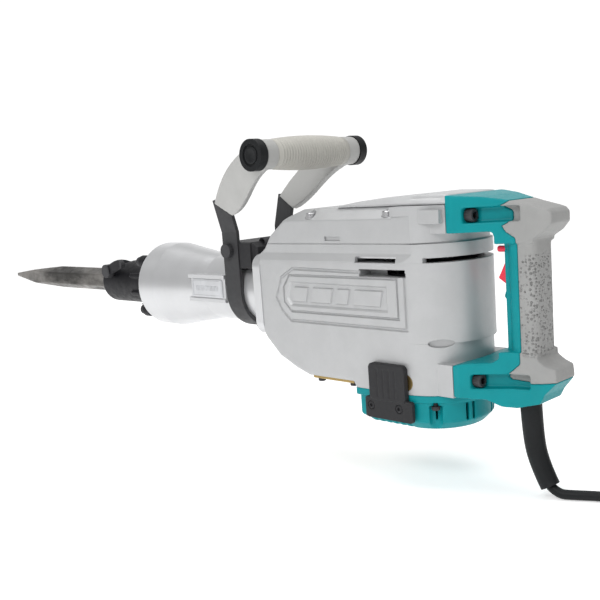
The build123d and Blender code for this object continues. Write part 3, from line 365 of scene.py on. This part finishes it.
def melt(node, voxel, rounds, keep):
    """Rounds a node all over: its solid is rebuilt from small voxels and smoothed."""
    modifiers = NODES[node].modifiers
    modifiers.new("weld", "WELD").merge_threshold = 2e-6
    voxels = modifiers.new("voxels", "REMESH")
    voxels.mode, voxels.voxel_size, voxels.use_smooth_shade = "VOXEL", voxel * MM, True
    smooth = modifiers.new("smooth", "SMOOTH")
    smooth.factor, smooth.iterations = 0.5, rounds
    modifiers.new("thin", "DECIMATE").ratio = keep


for name, node_object in NODES.items():
    node_object.data.materials.clear()
    node_object.data.materials.append(MATERIALS[SLOT_OF[name]])
for name, (voxel, rounds, keep) in MELTED.items():
    melt(name, voxel, rounds, keep)

# ---------------------------------------------------------------- pieces made here


def add_piece(name, points, faces, slot, body, smooth=True):
    """A new piece that rides a body."""
    mesh = bpy.data.meshes.new(name)
    mesh.from_pydata([tuple(p) for p in points], [], faces)
    mesh.materials.append(MATERIALS[slot])
    if smooth:
        mesh.shade_smooth()
    piece = bpy.data.objects.new(name, mesh)
    bpy.context.scene.collection.objects.link(piece)
    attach(piece, body)
    return piece


def rings(name, rows, slot, body, segments=48):
    """A closed skin over rings, each a centre, a direction and a radius in millimetres."""
    points, faces = [], []
    side = rows[0][1].orthogonal().normalized()
    for centre, direction, radius in rows:
        axis = direction.normalized()
        side = (side - axis * side.dot(axis)).normalized()
        other = axis.cross(side)
        for i in range(segments):
            angle = 2 * math.pi * i / segments
            points.append(centre + (side * math.cos(angle) + other * math.sin(angle)) * radius * MM)
    for row in range(len(rows) - 1):
        for i in range(segments):
            j = (i + 1) % segments
            start, following = row * segments, (row + 1) * segments
            faces.append((start + i, start + j, following + j, following + i))
    faces.append(tuple(range(segments))[::-1])
    faces.append(tuple((len(rows) - 1) * segments + i for i in range(segments)))
    return add_piece(name, points, faces, slot, body)


def turned(name, start, axis, profile, slot, body, segments=48):
    """A turned piece: its profile is distances along the axis with radii, in millimetres."""
    axis = Vector(axis).normalized()
    return rings(name, [(start + axis * d * MM, axis, r) for d, r in profile], slot, body, segments)


def smooth_route(points, steps=8):
    """Points and directions along a smooth curve that follows a route's corners."""
    ends = [points[0]] + [(a + b) / 2 for a, b in zip(points[1:-1], points[2:-1])] + [points[-1]]
    line = []
    for start, corner, end in zip(ends, points[1:-1], ends[1:]):
        for step in range(steps + (end is ends[-1])):
            t = step / steps
            place = start * (1 - t) ** 2 + corner * 2 * t * (1 - t) + end * t ** 2
            line.append((place, (corner - start) * (1 - t) + (end - corner) * t))
    return line


grip_low, grip_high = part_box("side_grip")
BAR = Vector(((grip_low.x + grip_high.x) / 2, 0, (grip_low.z + grip_high.z) / 2))
RIBBED, RIB_PITCH, RIB_DEPTH, DRUM_R, DRUM_RISE = 57.0, 3.93, 1.0, 16.5, 2.9
GRIP_END = (grip_high.y - grip_low.y) / 2 / MM


def make_side_grip():
    """The bar's rubber sleeve, a barrel shape with round ribs."""
    profile = [(-GRIP_END, 13), (-RIBBED - 0.3, 13), (-RIBBED - 0.3, DRUM_R - 0.9), (-RIBBED, DRUM_R)]
    steps = 6
    ribs = int(2 * (RIBBED - 2) / RIB_PITCH)
    start = -ribs * RIB_PITCH / 2
    for number in range(ribs * steps + 1):
        y = start + number * RIB_PITCH / steps
        dip = 1 - abs(math.sin(math.pi * number / steps)) ** 0.6
        profile.append((y, DRUM_R + DRUM_RISE * (1 - (y / RIBBED) ** 2) - RIB_DEPTH * dip))
    profile += [(RIBBED, DRUM_R), (RIBBED + 0.3, DRUM_R - 0.9), (RIBBED + 0.3, 13), (GRIP_END, 13)]
    grip = turned("ribbed_side_grip", BAR, (0, 1, 0), profile, "light_rubber", "side_handle", 64)
    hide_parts("side_grip")


CAP_DISC = [(0, 9.8), (0.9, 9.6), (1.3, 9.0), (1.35, 6.5), (1.0, 6.0), (1.0, 0.5)]
TUBE_PROFILE = [(-18, 4.0), (-28, 4.2), (-28, 5.8), (28, 5.8), (28, 4.2), (18, 4.0)]


def make_cap_discs():
    """Raised discs in the recesses of the bar's end caps."""
    caps_low, caps_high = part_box("grip_caps")
    for name, y, way in (("left_cap_disc", caps_low.y, -1), ("right_cap_disc", caps_high.y, 1)):
        bottom = Vector((BAR.x, y - way * 1.6 * MM, BAR.z))
        turned(name, bottom, (0, way, 0), CAP_DISC, "black_rubber", "side_handle")


def boxes(name, corners, slot, body):
    """A group of plain blocks, each from its low and its high corner."""
    points, faces = [], []
    for low_corner, high_corner in corners:
        start = len(points)
        points += [(x, y, z) for x in (low_corner[0], high_corner[0]) for y in (low_corner[1], high_corner[1])
                   for z in (low_corner[2], high_corner[2])]
        faces += [tuple(start + i for i in face) for face in
                  ((0, 1, 3, 2), (4, 6, 7, 5), (0, 4, 5, 1), (2, 3, 7, 6), (0, 2, 6, 4), (1, 5, 7, 3))]
    return add_piece(name, points, faces, slot, body, smooth=False)


def make_label_relief():
    """A raised rim and rows of plain marks on both label plates."""
    plates_low, plates_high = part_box("label_plates")
    x0, x1, z0, z1 = plates_low.x, plates_high.x, plates_low.z, plates_high.z
    rim, inset = 0.8 * MM, 1.6 * MM
    marks = []
    for side in (-1, 1):
        face = abs(plates_low.y)
        y0, y1 = sorted((side * (face - 0.2 * MM), side * (face + 0.35 * MM)))
        a, b, c, d = x0 + inset, x1 - inset, z0 + inset, z1 - inset
        marks += [((a, y0, c), (b, y1, c + rim)), ((a, y0, d - rim), (b, y1, d)),
                  ((a, y0, c + rim), (a + rim, y1, d - rim)), ((b - rim, y0, c + rim), (b, y1, d - rim))]
        for number in range(16):
            x = a + 6 * MM + number * 2.7 * MM
            tall = (5.5, 7.0, 6.2)[number % 3] * MM
            middle = (c + d) / 2
            marks.append(((x, y0, middle - tall / 2), (x + 1.3 * MM, y1, middle + tall / 2)))
    boxes("label_relief", marks, "label_metal", "housing")


def make_buffer_tube():
    """The hollow cross tube behind the side handle's clamp."""
    turned("buffer_tube", station(-15, 0, 59.5), (0, 1, 0), TUBE_PROFILE, "black_steel", "side_handle")


make_side_grip()
make_cap_discs()
make_label_relief()
make_buffer_tube()

# ---------------------------------------------------------------- cord

CORD_D = 0.0095
CORD_FLOOR = GROUND + CORD_D / 2
coil_low, coil_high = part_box("cord_coil")
COIL = (coil_low + coil_high) / 2
TURNS_R = [0.06625, 0.05675, 0.04725, 0.03775]
POINTS_PER_TURN = 16


def coil_points():
    """Turns wound inwards on the floor and back outwards on top, then a quarter turn to the tail."""
    radii = [(r, 0) for r in TURNS_R] + [(r, 1) for r in TURNS_R[::-1]]
    points = []
    for number, (radius, layer) in enumerate(radii):
        following, layer_after = radii[number + 1] if number + 1 < len(radii) else (radius, layer)
        for step in range(POINTS_PER_TURN):
            share = max(0.0, (step - POINTS_PER_TURN + 5) / 5)
            r = radius + (following - radius) * share
            z = CORD_FLOOR + CORD_D * (layer + (layer_after - layer) * share)
            angle = math.radians(-90) + 2 * math.pi * step / POINTS_PER_TURN
            points.append((COIL.x + r * math.cos(angle), COIL.y + r * math.sin(angle), z))
    for step in range(POINTS_PER_TURN // 4 + 1):
        angle = math.radians(-90) + 2 * math.pi * step / POINTS_PER_TURN
        points.append((COIL.x + TURNS_R[0] * math.cos(angle), COIL.y + TURNS_R[0] * math.sin(angle),
                       CORD_FLOOR + CORD_D))
    return points


plug_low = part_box("plug")[0]
EXIT = station(336, 0, -176.5)
CORD_ROUTE = [EXIT, station(343.7, 0, 0), station(357, 5.5, 0), station(377, 16, 0), station(405, 24, 0)]
for point in CORD_ROUTE[1:]:
    point.z = CORD_FLOOR
CORD_LINE = CORD_ROUTE + coil_points() + [(COIL.x + TURNS_R[0], COIL.y + 0.02, CORD_FLOOR + CORD_D),
                                          (COIL.x + TURNS_R[0], plug_low.y + 0.004, CORD_FLOOR + CORD_D)]


def make_cord_guard():
    """A rubber sleeve that hangs from the handle's foot, hollow at its mouth."""
    line = smooth_route([station(318, 0, -86), station(319, 0, -125), station(324.5, 0, -155), EXIT])
    rows = [(place, way, 10.5 - number / len(line)) for number, (place, way) in enumerate(line)]
    mouth, way = line[-1]
    way = way.normalized()
    rows += [(mouth + way * 0.0003, way, 9.2), (mouth + way * 0.0003, way, 8.0)]
    rows += [(mouth - way * depth * MM, way, radius) for depth, radius in ((0.6, 7.6), (5, 7.4), (11, 7.0))]
    guard = rings("cord_sleeve", rows, "black_rubber", "housing")
    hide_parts("cord_guard")
    return guard


def make_cord():
    curve = bpy.data.curves.new("mains_cord", "CURVE")
    curve.dimensions, curve.bevel_depth, curve.bevel_resolution = "3D", CORD_D / 2, 5
    curve.use_fill_caps, curve.resolution_u = True, 6
    spline = curve.splines.new("NURBS")
    spline.points.add(len(CORD_LINE) - 1)
    for target, point in zip(spline.points, CORD_LINE):
        target.co = (*point, 1)
    spline.order_u = 3
    spline.use_endpoint_u = True
    cord = bpy.data.objects.new("mains_cord", curve)
    bpy.context.scene.collection.objects.link(cord)
    curve.materials.append(MATERIALS["black_rubber"])
    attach(cord, "housing")
    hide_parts("cord", "cord_coil", "cord_tail")
    return cord


mains_cord = make_cord()
make_cord_guard()
